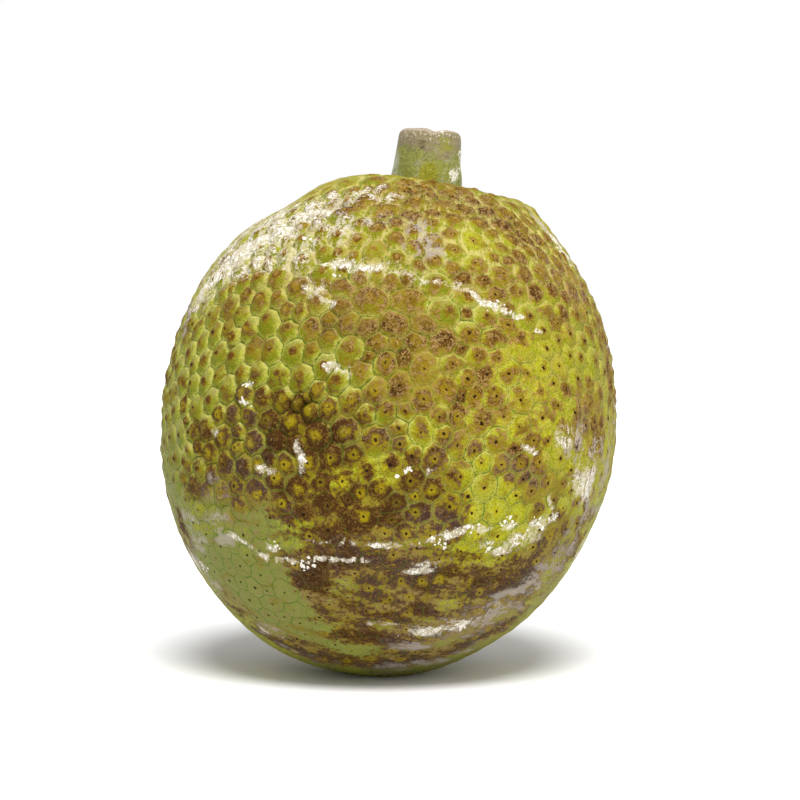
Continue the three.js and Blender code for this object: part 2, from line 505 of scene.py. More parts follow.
LATEX = patches(
    # the crown and the upper sides
    (-34, 54, 26, 9, 0.26, 18),
    (-40, 58, 22, 5, 0.22, 18),
    (-58, 49, 18, 8, 0.38, 42),
    (-84, 52, 16, 12, 0.4, 30),
    (-66, 63, 18, 8, 0.4, 20),
    (-30, 50, 15, 4, 0.25, 15),
    (-28, 67, 18, 4, 0.42, 8),
    (-19, 62, 5, 2.6, -0.7, 20),
    (-36, 57, 4, 2.4, -0.6, 10),
    (-30, 60, 3, 2, -0.5, 10),
    (-38, 58, 6, 1.6, 0.8, 12),
    (-45, 61, 5, 1.4, 0.85, 20),
    (-29, 61.5, 5, 1.2, 0.85, 10),
    (-50, 52, 7, 1.7, 0.8, 35),
    (-19, 68, 3, 1.0, 0.8, 15),
    (-8, 70, 5, 1.0, 0.7, 10),
    (2, 66, 4, 1.0, 0.7),
    # the left
    (-72, 38, 9, 12, 0.42, 60),
    (-44, 45, 10, 4, 0.3, 30),
    (-30, 43, 22, 6, 0.22),
    (-48, -20, 12, 12, 0.12, 20),
    (-47, 1, 2, 1.4, 0.8),
    (-31, -7, 3.5, 1.1, 0.85, -10),
    (-59, 47, 8, 2.0, 0.8, 45),
    (-67, 42, 6, 2.4, 0.85, 55),
    (-76, 33, 3, 6, 0.75),
    # the middle
    (-5, 44, 14, 3, 0.25, -5),
    (28, 34, 14, 2, 0.12, -32),
    (-16, 44, 6, 1.7, 0.8, -5),
    (-4, 42.5, 5, 1.2, 0.7, -5),
    (8, 40, 3.5, 1.7, 0.8, -20),
    (15, 38.5, 5, 0.7, 0.7, -5),
    (24, 35, 5, 0.9, 0.85, -35),
    (-22, 37, 3, 2.2, 0.8),
    (-17, 34, 3, 1.2, 1.0, -20),
    (-14, 18, 3, 1.3, 0.85, -20),
    (-10, 16, 1, 2.2, 0.75),
    (-22, -1, 0.9, 2.5, 0.85),
    (-21, -5, 1.2, 3.5, 0.8),
    (10, -7, 1.6, 1.0, 0.8),
    (13, -23.5, 5, 1.2, 0.95, 12),
    (19, -21.8, 4, 1.0, 0.95, 15),
    (25, -22, 2.5, 1.2, 1.0),
    # the right
    (60, -10, 9, 12, 0.32),
    (30, 31.8, 5.5, 0.9, 0.8, -25),
    (36.5, 29.5, 2, 0.7, 0.85, -20),
    (42, 26, 2.5, 0.9, 0.7, -50),
    (36, -2.5, 3.5, 1, 0.85, -25),
    (58, -12, 6, 4, 0.6),
    (48, 0, 5, 4, 0.45),
    (45, -16, 3.5, 0.5, 0.9, -55),
    (33, -21.5, 2.6, 1.0, 1.05),
    (44, -21.5, 5.5, 2.2, 0.95, 15),
    (80, 46, 2.5, 9, 0.85),
    # low down
    (18, -50, 18, 4, 0.25, 8),
    (-32, -26, 2, 1.6, 0.8, -20),
    (-42, -25, 5, 0.8, 0.55, -30),
    (-35, -28.5, 4, 0.8, 0.62, -15),
    (-26, -29.8, 6, 0.7, 0.68, -5),
    (-19, -28.7, 4, 0.9, 0.75, 5),
    (-10, -29, 7, 0.6, 0.65),
    (-15, -24.3, 8, 0.5, 0.6),
    (0, -25, 9, 0.9, 0.8, -2),
    (39, -25, 6, 2.0, 0.7),
    (31, -28, 1.8, 1.2, 0.9),
    (33, -27, 8, 3, 0.3),
    (27, -25.5, 3, 0.9, 0.7),
    (12, -30, 6, 0.7, 0.7, 5),
    (8, -32, 5, 1.0, 0.65),
    (24, -50, 6, 1.1, 0.75, 15),
    (11, -52, 6, 1.3, 0.7, 10),
    (-3, -48, 4, 0.9, 0.75, -12),
    (-50, -53, 4, 1.4, 0.8, -20),
    (-73, -36, 2, 8, 0.75, 25),
    (74, -32, 2, 8, 0.7, -20),
    # the back
    (150, 40, 6, 1.6, 0.8, -15),
    (140, 37, 4, 1.2, 0.8, -25),
    (-160, -20, 7, 1.4, 0.85, 10),
    (-120, 30, 2, 6, 0.8),
    (120, -30, 6, 1.4, 0.8),
    (132, -28, 5, 1, 0.8, 5),
    (170, 16, 4, 1.2, 0.7, -30),
    (-105, 48, 10, 6, 0.4, 30),
    (165, -22, 14, 8, 0.25),
)
LIME = patches(
    # the crown and the upper sides
    (20, 50, 16, 9, 0.8, -10),
    (0, 50, 16, 9, 0.7),
    (15, 64, 34, 8, 0.8, -6),
    # the left
    (-36, 2, 12, 9, -0.4),
    (-42, -14, 16, 9, -0.6),
    (-36, -18, 10, 6, -0.6),
    (-72, -5, 18, 36, -0.5),
    # the middle
    (24, -5, 11, 9, 0.9),
    (28, -16, 13, 9, 1.0),
    (0, 0, 9, 7, 0.35),
    (-12, -8, 5, 4, 0.3),
    (-18, 14, 20, 10, 0.1),
    # the right
    (38, 46, 18, 9, 0.9, -25),
    (30, 28, 14, 10, 0.6),
    (44, 15, 12, 8, 0.8),
    (56, 28, 9, 13, 0.6),
    (38, 4, 10, 7, 0.8),
    # low down
    (-38, -36, 24, 15, -0.9),
    (0, -64, 50, 18, -0.8),
    (-16, -28, 16, 8, -0.3),
    (0, -46, 50, 13, -0.35),
    # the back
    (130, 25, 20, 12, 0.5),
    (-150, 30, 20, 12, 0.4),
    (160, -30, 30, 12, -0.6),
    (-120, -20, 20, 20, -0.5),
    (180, -60, 50, 16, -0.7),
    (110, 0, 14, 14, 0.5),
)


# ---------------------------------------------------------------- the rind's florets

GOLDEN_TURN = math.pi * (3 - math.sqrt(5))
HEXAGON = math.sqrt(3) / 2  # area of a hexagonal cell as a share of its spacing squared
ROWS = 3000
RELAXATIONS = 2
STRAY = 0.24  # of the spacing, before the places are relaxed
RUN_OUT = 4.0  # how many times longer than wide the streaks down from the crown are
BEND = 0.035  # of the floret width, for the middle of each side of an outline
OFF_CENTRE = 0.07  # of a floret's radius, for the stray of its stigma
LEAST_SWELL = 0.05
MOST_SWELL = 1.2
UNLIKENESS = 0.25  # share by which a floret's swell may be more or less than its place's
ROUND_REACH = 0.88  # of a floret's radius, for an outline rounded off to a circle
SUNK = 0.75  # share of the swell that florets' feet lie under the skin
WAVES = (22 * MM, 0.45 * MM)  # length and height of the skin's slow waves
DENTS = (2.6 * MM, 0.07 * MM)  # width and depth of its small dents
STREAKS_FROM = 0.2  # of half the fruit's length, below its middle
STREAKS_OVER = 0.35  # the same, for how far down they take to grow
SHALLOWEST = 0.2  # groove between flat florets, as a share of the deepest

# The rings of one floret from its groove inwards: share of the way out from its middle, height
# as a share of its swell, and how far its outline is rounded off.
RINGS = (
    (0.92, 0.1, 0.0),
    (0.7, 0.5, 0.2),
    (0.4, 0.72, 0.6),
    (0.19, 1.0, 1.0),
)


def on_ellipsoid(place):
    """A place moved onto the plain egg that the florets are spread over, in its own frame."""
    u = Vector((place.x / HALF_WIDTH, place.y / HALF_WIDTH, place.z / HALF_LENGTH)).normalized()
    return Vector((u.x * HALF_WIDTH, u.y * HALF_WIDTH, u.z * HALF_LENGTH))


def floret_places(rind, draw):
    """Places of the florets, spiralling from the stalk end down to the blossom end."""
    places = []
    count = 0.0
    step = math.pi / ROWS
    for row in range(ROWS):
        down = (row + 0.5) * step
        wide, tall = math.sin(down), math.cos(down)
        spacing = rind.floret_width * (1 - rind.crowding * abs(tall) ** 3)
        strip = math.tau * HALF_WIDTH * wide * math.hypot(HALF_LENGTH * wide, HALF_WIDTH * tall)
        count += strip * step / (HEXAGON * spacing**2)
        while count > len(places) + 0.5:
            turn = len(places) * GOLDEN_TURN
            place = Vector((wide * math.cos(turn), wide * math.sin(turn), tall))
            stray = Vector([draw.gauss(0, STRAY) for _ in range(3)]) * spacing / HALF_WIDTH
            places.append(on_ellipsoid((place + stray) * HALF_WIDTH))
    return places


def hull(places):
    bm = bmesh.new()
    for place in places:
        bm.verts.new(place)
    bmesh.ops.convex_hull(bm, input=bm.verts)
    return bm


def floret_outlines(rind, draw):
    """One many-sided face for each floret. The florets' places are joined into triangles and
    relaxed, and then each edge is turned so that it runs between two florets."""
    bm = hull(floret_places(rind, draw))
    for _ in range(RELAXATIONS):
        bmesh.ops.smooth_vert(
            bm, verts=bm.verts, factor=0.5, use_axis_x=True, use_axis_y=True, use_axis_z=True
        )
        places = [on_ellipsoid(v.co) for v in bm.verts]
        bm.free()
        bm = hull(places)
    florets = list(bm.verts)
    between = list(bm.edges)
    bmesh.ops.poke(bm, faces=bm.faces)
    bmesh.ops.rotate_edges(bm, edges=between)
    bmesh.ops.dissolve_verts(bm, verts=florets)
    halves = bmesh.ops.bisect_edges(bm, edges=list(bm.edges), cuts=1)["geom_split"]
    for v in halves:
        if isinstance(v, bmesh.types.BMVert):
            v.co += Vector([draw.gauss(0, BEND) for _ in range(3)]) * rind.floret_width
    for v in bm.verts:
        v.co = lay((LEAN @ v.co).normalized())
    return bm


TILE_FILL = 0.88  # of each tile, so that florets which reach past a cube's edge stay inside


def bake_place(direction, major):
    """Where a direction falls on a map of six square tiles, one for each side of a cube."""
    axis, sign = major
    others = [direction[i] for i in range(3) if i != axis]
    tile = axis * 2 + (sign > 0)
    spread = [math.atan(c / abs(direction[axis])) / (math.pi / 4) * TILE_FILL for c in others]
    return ((tile % 3 + 0.5 + spread[0] / 2) / 3, (tile // 3 + 0.5 + spread[1] / 2) / 2)


class Floret:
    """One floret: its outline on the skin, its middle and how it has grown."""

    def __init__(self, face, rind, draw):
        self.face = face
        self.outline = [v.co.copy() for v in face.verts]
        middle = sum(self.outline, Vector()) / len(self.outline)
        self.radius = sum((p - middle).length for p in self.outline) / len(self.outline)
        stray = Vector([draw.gauss(0, OFF_CENTRE) for _ in range(3)]) * self.radius
        self.out = (middle + stray - MIDDLE).normalized()
        self.middle = lay(self.out)
        self.up = (UP - self.out * self.out.z).normalized()
        likeness = draw.uniform(1 - UNLIKENESS, 1 + UNLIKENESS)
        self.swell = min(total(KNOBS, self.middle, LEAST_SWELL) * likeness, MOST_SWELL)
        self.height = rind.swell * self.swell
        self.tint = draw.random()
        self.ringed = draw.random()
        self.dot = draw.uniform(0.5, 1.0)
        axis = max(range(3), key=lambda i: abs(self.out[i]))
        self.major = (axis, math.copysign(1, self.out[axis]))
        self.marks = [
            [mark for mark in marks if mark.near(self.middle, 2 * self.radius)]
            for marks in (RUSSET, FILM, LATEX, LIME)
        ]

    def place(self, corner, ring_share, rounded):
        """A point of a ring: its corner's spoke, shortened and rounded off."""
        spoke = self.outline[corner] - self.middle
        reach = spoke.length * (1 - rounded) + ROUND_REACH * self.radius * rounded
        return self.middle + spoke.normalized() * reach * ring_share

    def upside(self, place):
        """0 at the floret's lowest edge and 1 at its highest."""
        return 0.5 + 0.5 * (place - self.middle).dot(self.up) / self.radius

    def stain(self, place):
        return [total(marks, place) for marks in self.marks]


def raise_vertex(vertex, place, height, rind):
    """Lays a vertex at a height over the florets' feet, which lie under the skin by the share of
    their swell that keeps their tops near it, and pressed flat where the fruit rests."""
    feet = -SUNK * rind.swell * total(KNOBS, place)
    raised = lay((place - MIDDLE).normalized(), feet + height + unevenness(place))
    raised.z = max(raised.z, 0.0)
    vertex.co = raised


def unevenness(place):
    """Slow waves and small dents of a grown surface."""
    return sum(noise.noise(place / size) * height for size, height in (WAVES, DENTS))


def course(place):
    """A place spread out flat round the stalk's axis, with its way down from the crown shortened
    so that a pattern on it runs out into streaks."""
    arm = place - MIDDLE
    flat = (arm - AXIS * arm.dot(AXIS)).normalized()
    return (flat + AXIS * arm.angle(AXIS) / RUN_OUT) * HALF_WIDTH


def streaked(place):
    """How far the skin's marks are drawn out round the fruit, as they are low on it."""
    below = (MIDDLE - place).dot(AXIS) / HALF_LENGTH
    return smooth((below - STREAKS_FROM) / STREAKS_OVER)


def grow_florets(bm, rind, draw):
    """Gives each outline its rings, raises them and writes what the material reads."""
    number = bm.faces.layers.int.new("floret")
    lie = bm.verts.layers.float_color.new("lie")
    stain = bm.verts.layers.float_color.new("stain")
    grown = bm.loops.layers.float_color.new("grown")
    flow = bm.verts.layers.float_vector.new("course")
    bake = bm.loops.layers.uv.new("OFBake")
    florets = [Floret(face, rind, draw) for face in bm.faces]
    for i, floret in enumerate(florets):
        floret.face[number] = i
    for vertex in bm.verts:
        swell = sum(florets[face[number]].swell for face in vertex.link_faces)
        swell = min(swell / len(vertex.link_faces), 1.0)
        depth = rind.groove * (SHALLOWEST + (1 - SHALLOWEST) * swell)
        vertex[lie] = (rind.floret_width / (2 * MM), 0.0, 0.5, streaked(vertex.co))
        vertex[stain] = florets[vertex.link_faces[0][number]].stain(vertex.co)
        raise_vertex(vertex, vertex.co, -depth, rind)
    for ring_share, lift, rounded in RINGS:
        cells = [floret.face for floret in florets]
        bmesh.ops.inset_individual(bm, faces=cells, thickness=0.0)
        for floret in florets:
            for corner, vertex in enumerate(floret.face.verts):
                place = floret.place(corner, ring_share, rounded)
                gap = (place - floret.outline[corner]).length / MM
                away = (place - floret.middle).length / MM
                vertex[lie] = (away, gap, floret.upside(place), streaked(place))
                vertex[stain] = floret.stain(place)
                raise_vertex(vertex, place, floret.height * lift, rind)
    poked = bmesh.ops.poke(bm, faces=[floret.face for floret in florets])["verts"]
    for vertex in poked:
        floret = florets[vertex.link_faces[0][number]]
        vertex[lie] = (0.0, floret.radius / MM, 0.5, streaked(floret.middle))
        vertex[stain] = floret.stain(floret.middle)
        raise_vertex(vertex, floret.middle, floret.height - rind.pit * floret.dot, rind)
    for vertex in bm.verts:
        vertex[flow] = course(vertex.co)
    for face in bm.faces:
        floret = florets[face[number]]
        for loop in face.loops:
            loop[grown] = (floret.tint, floret.ringed, floret.dot, floret.swell)
            loop[bake].uv = bake_place(loop.vert.co - MIDDLE, floret.major)


# ---------------------------------------------------------------- pieces and materials


DRAWN_OUT = 3.0  # how many times longer than tall the low marks are
CRISPNESS = 0.62  # of the noise that the marks are made of


def per_mm(millimetres):
    """The scale at which a pattern's features are about this size."""
    return 1 / (millimetres * MM)


def add(tree, kind, inputs=None, **settings):
    """Adds a node, with its settings and its inputs. An input takes a value, a socket, or a node
    whose first output in use it then reads."""
    node = tree.nodes.new("ShaderNode" + kind)
    for name, value in settings.items():
        setattr(node, name, value)
    for name, value in (inputs or {}).items():
        if isinstance(value, bpy.types.Node):
            value = next(output for output in value.outputs if output.enabled)
        if isinstance(value, bpy.types.NodeSocket):
            tree.links.new(value, node.inputs[name])
        else:
            node.inputs[name].default_value = value
    return node


def new_material(name):
    material = bpy.data.materials.new(name)
    material.use_nodes = True
    material.node_tree.nodes.clear()
    return material, material.node_tree


def attribute(tree, name):
    """The four numbers of an attribute that the mesh carries."""
    read = add(tree, "Attribute", attribute_name=name)
    parts = add(tree, "SeparateColor", {"Color": read})
    return [*parts.outputs, read.outputs["Alpha"]]


def cover(tree, low, high, *fields):
    """How far a weighted sum of fields has come from low, where nothing is covered, to high."""
    reached = 0.0
    for field, weight in fields:
        reached = add(tree, "Math", {0: field, 1: weight, 2: reached}, operation="MULTIPLY_ADD")
    return add(
        tree,
        "MapRange",
        {"Value": reached, "From Min": low, "From Max": high},
        interpolation_type="SMOOTHSTEP",
    )


def both(tree, product, *covers):
    """The product of covers: where all of them lie."""
    for one in covers:
        product = add(tree, "Math", {0: product, 1: one}, operation="MULTIPLY")
    return product


def lay_over(tree, colour, roughness, coats):
    """Lays each coat of (colour, roughness, strength, covers) over the ones before it."""
    for tone, matt, strength, *covers in coats:
        covering = both(tree, strength, *covers)
        colour = add(tree, "Mix", {0: covering, 6: colour, 7: tone}, data_type="RGBA")
        roughness = add(tree, "Mix", {0: covering, 2: roughness, 3: matt})
    return colour, roughness


def finish_material(tree, colour, roughness, relief, relief_height, **constants):
    """Ends a material in its shader, with the fine relief as a bump of a height in metres."""
    bump = add(tree, "Bump", {"Strength": 1.0, "Distance": relief_height, "Height": relief})
    shader = add(
        tree, "BsdfPrincipled", {"Base Color": colour, "Roughness": roughness, "Normal": bump}
    )
    for name, value in constants.items():
        shader.inputs[name.replace("_", " ")].default_value = value
    add(tree, "OutputMaterial", {"Surface": shader})


def make_piece(bm, name, material):
    """Turns a bmesh into a smooth-shaded piece that rides with the fruit."""
    for face in bm.faces:
        face.smooth = True
    mesh = bpy.data.meshes.new(name)
    bm.to_mesh(mesh)
    bm.free()
    mesh.materials.append(material)
    piece = bpy.data.objects.new(name, mesh)
    bpy.context.scene.collection.objects.link(piece)
    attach(piece, "root")
    return piece


# Living rind: a waxy cuticle over green flesh, matt where it has corked brown, with sap dried on
# it as a grey film and as white latex. Its colour also holds painted light on the tall florets'
# upper slopes and painted shade on their lower slopes.
def rind_material(rind):
    material, tree = new_material("Waxy_breadfruit_rind")
    place = add(tree, "TexCoord").outputs["Object"]
    away, gap, upside, streaks = attribute(tree, "lie")
    russet, film, latex, lime = attribute(tree, "stain")
    tint, ringed, dot, swell = attribute(tree, "grown")
    round_fruit = add(
        tree,
        "Mapping",
        {"Vector": place, "Rotation": LEAN.to_euler(), "Scale": (1.0, 1.0, 1 / DRAWN_OUT)},
        vector_type="TEXTURE",
    )
    flow = add(tree, "Attribute", attribute_name="course").outputs["Vector"]
    slow, spotty, drawn, grain, grit, run = [
        add(
            tree,
            "TexNoise",
            {"Vector": where, "Scale": per_mm(size), "Detail": detail, "Roughness": CRISPNESS},
            normalize=False,
        )
        for where, size, detail in (
            (place, 26, 3.0),
            (place, 5.6, 5.0),
            (round_fruit, 11, 6.0),
            (place, 1.3, 4.0),
            (place, 0.5, 2.0),
            (flow, 2.6, 5.0),
        )
    ]
    patchy = add(tree, "Mix", {0: streaks, 2: spotty, 3: drawn})
    own = add(tree, "Mix", {0: streaks, 2: tint, 3: 0.5})
    across, _, height = add(tree, "SeparateXYZ", {"Vector": place}).outputs

    sunned = cover(tree, 0.098, 0.125, (height, 1.0))
    lit = cover(tree, 0.062, 0.11, (height, 1.0), (across, 0.6))
    high = cover(tree, 0.045, 0.075, (height, 1.0))
    sunny_side = cover(tree, 0.03, 0.052, (across, 1.0))
    rim = cover(tree, 0.85, 0.4, (gap, 1.0), (grain, 0.3), (streaks, 1.5))
    smear = add(tree, "Mix", {0: streaks, 2: run, 3: drawn})
    tall = cover(tree, 0.15, 0.65, (swell, 1.0), (tint, 0.1))
    line = cover(tree, 0.25, 0.06, (gap, 1.0), (grain, 0.2))
    fading = cover(
        tree,
        -0.6,
        0.45,
        (swell, 0.6),
        (patchy, 1.0),
        (slow, 0.7),
        (streaks, 0.1),
        (sunned, -0.4),
        (sunny_side, -0.3),
    )
    border = cover(
        tree, 1.1, 0.0, (gap, 1.0), (grain, 0.4), (patchy, 0.5), (swell, -0.3), (streaks, 1.0)
    )
    inner = cover(tree, 0.2, 1.8, (gap, 1.0), (grain, 0.5), (patchy, 0.5))
    # The upper side of each floret, where real dust lies and where painted light is laid
    upper = cover(tree, 0.3, 1.0, (upside, 0.9), (grain, 0.25))
    # The lower side of each floret, where painted shade is laid
    under = cover(tree, 0.7, 0.1, (upside, 1.0), (grain, 0.25))
    glow = cover(tree, 2.0, 0.1, (away, 1.0), (grain, 1.0), (patchy, 0.4), (ringed, -0.4))
    halo = cover(tree, 2.4, 0.6, (away, 1.0), (grain, 0.8), (ringed, -0.8), (tint, 0.8))
    areole = cover(
        tree, 0.45, -0.2, (away, 1.0), (grain, 0.4), (grit, 0.2), (ringed, -1.0), (swell, -0.5)
    )
    washed = cover(
        tree, 0.22, 0.7, (russet, 1.0), (patchy, 0.7), (slow, 0.3), (own, 0.2), (border, -0.15)
    )
    ring = cover(tree, 3.0, 1.3, (away, 1.0), (grain, 1.0), (upside, -0.8), (tint, 0.6))
    ring = add(tree, "Mix", {0: streaks, 2: ring, 3: 0.5})
    browned = cover(
        tree,
        0.56,
        1.4,
        (russet, 1.0),
        (ring, 0.7),
        (patchy, 1.4),
        (grain, 0.7),
        (grit, 0.2),
        (own, 0.25),
        (border, -0.3),
    )
    browned = both(tree, browned, cover(tree, 0.08, 0.3, (russet, 1.0)))
    corked = cover(
        tree,
        0.78,
        1.6,
        (russet, 1.0),
        (ring, 0.7),
        (patchy, 1.4),
        (grain, 1.0),
        (grit, 0.3),
        (own, 0.3),
        (border, -0.3),
        (lit, -0.45),
        (streaks, -0.1),
    )
    corked = both(tree, corked, cover(tree, 0.12, 0.35, (russet, 1.0)))
    scurf = cover(tree, 0.1, 0.45, (grain, 0.7), (grit, 0.8))
    purple = cover(tree, 0.15, 0.5, (slow, 1.0), (grain, 0.5), (streaks, 0.4), (film, 0.8))
    pit = cover(
        tree, 0.4, 0.18, (away, 1.0), (dot, -0.15), (grain, 0.4), (sunned, 0.1), (streaks, 0.1)
    )
    filmed = cover(tree, 0.15, 0.75, (film, 1.0), (patchy, 0.6))
    beside_film = cover(tree, 0.05, 0.3, (film, 1.0))
    cloudy = cover(
        tree, -0.25, 0.45, (smear, 0.7), (patchy, 0.4), (grain, 0.8), (grit, 0.4), (film, 0.2)
    )
    beside_latex = cover(tree, 0.08, 0.35, (latex, 1.0))
    misted = cover(
        tree,
        0.3,
        0.9,
        (latex, 1.0),
        (smear, 0.4),
        (patchy, 0.5),
        (grain, 0.5),
        (grit, 0.3),
        (upside, 0.25),
    )
    dotted = cover(tree, 0.42, 0.56, (grain, 0.9), (grit, 0.9), (latex, 0.34))
    crusted = cover(tree, 0.42, 0.75, (latex, 1.0), (patchy, 0.9))
    coats = [
        (rind.olive, 0.46, 0.6, cover(tree, -0.3, 0.6, (slow, 1.0), (patchy, 0.4), (tint, 0.4))),
        (rind.lime, 0.4, 1.0, cover(tree, -0.1, 0.7, (lime, 1.0), (tint, 0.35), (patchy, 0.4)), inner),
        (
            rind.net,
            0.45,
            0.5,
            cover(tree, 0.6, 0.95, (ringed, 1.0), (grain, 0.3), (slow, 0.5), (streaks, -0.4)),
        ),
        (rind.olive, 0.5, 0.5, cover(tree, 0.0, 0.5, (grain, 1.0), (grit, 0.7))),
        (rind.net, 0.5, 0.5, cover(tree, 0.08, 0.3, (grit, 1.0), (grain, 0.4))),
        (rind.olive, 0.5, 0.75, cover(tree, -0.1, -0.35, (grit, 1.0), (grain, 0.4))),
        (rind.grey_green, 0.5, 0.75, cover(tree, 0.0, 0.7, (lime, -1.0), (patchy, 0.4), (grain, 0.3))),
        (rind.deep_green_and_shade, 0.42, 0.8, tall, inner),
        # Painted shade: deep green on the lower slopes of the tall florets
        (rind.deep_green_and_shade, 0.42, 0.75, tall, under),
        # Painted light: pale bloom on the upper slopes of the tall florets
        (rind.bloom, 0.6, 0.28, tall, upper),
        (rind.bloom, 0.6, 0.5, rim, fading, high, cover(tree, -0.2, 0.4, (patchy, -0.4), (grain, 1.0))),
        (rind.net, 0.5, 0.2, border, fading),
        (rind.net, 0.5, 0.4, border, fading, high),
        (rind.wash, 0.5, 0.5, border, sunny_side, cover(tree, -0.3, 0.3, (patchy, 1.0))),
        # Painted light: pale bloom along the upper borders of the tall florets
        (rind.bloom, 0.6, 0.2, border, tall, upper),
        (rind.line_green, 0.55, 0.75, line, fading),
        (rind.glow, 0.45, 0.45, glow, cover(tree, -0.4, 0.3, (lime, 1.0))),
        (rind.dust, 0.75, 0.35, tall, upper, cover(tree, 0.0, 0.5, (grit, 1.0), (grain, 0.6))),
        (rind.wash, 0.55, 0.65, halo, tall),
        (rind.dust, 0.75, 0.6, halo, tall, upper, cover(tree, -0.5, 0.3, (grit, 0.4), (grain, 1.0))),
        (rind.areole, 0.55, 0.95, areole, tall),
        (rind.wash, 0.55, 0.75, washed),
        (rind.tan, 0.6, 0.22, lit, cover(tree, 0.75, 1.0, (tint, 1.0), (grain, 0.5), (russet, 0.3))),
        (
            rind.dust,
            0.65,
            0.6,
            streaks,
            cover(tree, 0.2, 0.9, (russet, 1.0), (grain, 1.0), (slow, 0.6)),
        ),
        (rind.russet, 0.7, 0.9, browned),
        (rind.cork, 0.8, 0.3, browned, cover(tree, 0.0, 0.5, (grit, 0.5), (grain, 1.0))),
        (rind.cork, 0.8, 1.0, corked),
        (rind.cork, 0.8, 0.6, browned, sunned, cover(tree, 0.1, 0.35, (run, 1.0))),
        (rind.plum, 0.8, 0.8, corked, purple),
        (rind.tan, 0.7, 0.25, browned, scurf),
        (rind.tan, 0.7, 0.45, browned, lit, cover(tree, -0.1, 0.45, (grain, 1.0), (patchy, -0.8))),
        (
            rind.dust,
            0.7,
            0.5,
            browned,
            lit,
            cover(tree, -0.1, 0.35, (slow, 0.6), (grain, 0.8), (grit, 0.5)),
        ),
        (rind.dust, 0.75, 0.6, browned, tall, lit, cover(tree, -0.1, 0.5, (grit, 0.6), (grain, 1.0))),
        (
            rind.net,
            0.6,
            0.5,
            browned,
            border,
            fading,
            cover(tree, 0.0, 0.7, (slow, 1.0), (grain, 0.5), (ringed, 0.7), (lit, 0.3)),
        ),
        (rind.wax, 0.6, 0.7, border, sunned, cover(tree, -0.3, 0.4, (run, 1.0), (grain, 0.5))),
        (rind.cork, 0.6, 0.4, browned, line, fading),
        (rind.dust, 0.75, 0.4, browned, upper, lit, cover(tree, 0.0, 0.4, (grit, 1.0), (grain, 0.5))),
        (rind.cork, 0.75, 0.42, browned, ring, cover(tree, -0.3, 0.3, (grain, 1.0), (grit, 0.5))),
        (rind.glow, 0.5, 0.48, glow, browned, cover(tree, 0.1, 0.8, (ringed, 1.0))),
        (rind.areole, 0.65, 0.58, cover(tree, 2.1, 0.8, (away, 1.0), (grain, 1.0), (own, 0.6)), lit),
        (rind.tan, 0.6, 0.7, cover(tree, 0.8, 0.45, (away, 1.0), (grain, 0.5)), sunned),
        (rind.tan, 0.65, 0.4, lit, cover(tree, 0.12, 0.4, (grit, 1.0), (grain, 0.6), (patchy, 0.3))),
        # Painted highlight: a pale cap close above the stigma on the upper side of each tall floret
        (
            rind.bloom,
            0.6,
            0.55,
            tall,
            upper,
            cover(tree, 1.0, 0.7, (away, 1.0), (grain, 0.5)),
            cover(tree, 0.0, 0.3, (grit, 1.0)),
        ),
        (rind.line_green, 0.55, 0.4, line, fading),
        (rind.stigma, 0.7, 1.0, pit, cover(tree, 1.5, 0.2, (swell, 1.0))),
        (rind.film, 0.65, 0.65, beside_film, filmed, cloudy),
        (rind.cream, 0.6, 0.6, beside_latex, misted),
        (rind.latex, 0.6, 1.0, beside_latex, crusted, dotted),
    ]
    colour, roughness = lay_over(tree, rind.green, 0.44, coats)
    relief = add(tree, "Math", {0: grain, 1: 0.7, 2: grit}, operation="MULTIPLY_ADD")
    finish_material(
        tree, colour, roughness, relief, 0.17 * MM, IOR=1.4, Specular_IOR_Level=0.15
    )
    return material


# ---------------------------------------------------------------- the stalk

STALK_SIDES = 72
SINK = FRUIT_HIGH.z - STALK_LOW.z
BURIED = 0.62  # of the sink, up to where the stalk leaves the rind
TOP_SHARE = 0.875  # width under the cut, as a share of the foot's
SHAFT_RINGS = 8
RIM_DEGREES = (22, 45, 68, 90)
LIP = 0.8 * MM  # from the rim to the sunk cut
CUT = ((0.55, 1.0), (0.3, 0.9), (0.12, 1.3), (0.0, 1.5))  # shares of the top's radius and of the dip, inwards
STALK_DENTS = (7 * MM, 0.5 * MM)  # width and depth
RIBS = 5
RIB_START = 1.3  # radians that the ribs are turned by
RIB_HEIGHT = 0.16 * MM
SAG = 0.9 * MM  # notch in the rim, a little right of the front
LOW_SIDE = 1.0 * MM  # how much lower the cut end is from its right round to the back


def stalk_point(turn, radius, height):
    """A point about the stalk's axis. Turn goes from the front towards the right."""
    t = math.radians(turn)
    return Vector(
        (
            STALK_MIDDLE.x + radius * math.sin(t),
            STALK_MIDDLE.y - radius * math.cos(t),
            height,
        )
    )


def stalk_profile(stalk):
    """The stalk's outline from its hidden foot up to the middle of its cut end, as (radius,
    height) pairs."""
    foot, top = STALK_LOW.z, STALK_HIGH.z
    crown = foot + BURIED * SINK
    widest = STALK_RADIUS
    profile = [(0.0, foot), (widest - MM, foot), (widest, foot + MM)]
    profile += [(widest, crown - MM), (widest, crown + 0.6 * MM)]
    narrow = TOP_SHARE * widest
    bare = top - stalk.rim_round - crown - 2 * MM
    for i in range(SHAFT_RINGS + 1):
        s = i / SHAFT_RINGS
        profile.append((widest * (1 - s) + narrow * s, crown + 2 * MM + bare * s))
    for degrees in RIM_DEGREES:
        a = math.radians(degrees)
        inwards = stalk.rim_round * (1 - math.cos(a))
        profile.append((narrow - inwards, top - stalk.rim_round * (1 - math.sin(a))))
    profile.append((narrow - stalk.rim_round - LIP, top - 0.4 * stalk.dip))
    return profile + [(across * narrow, top - deep * stalk.dip) for across, deep in CUT]


def stalk_turn(point):
    return math.degrees(math.atan2(point.x - STALK_MIDDLE.x, STALK_MIDDLE.y - point.y))


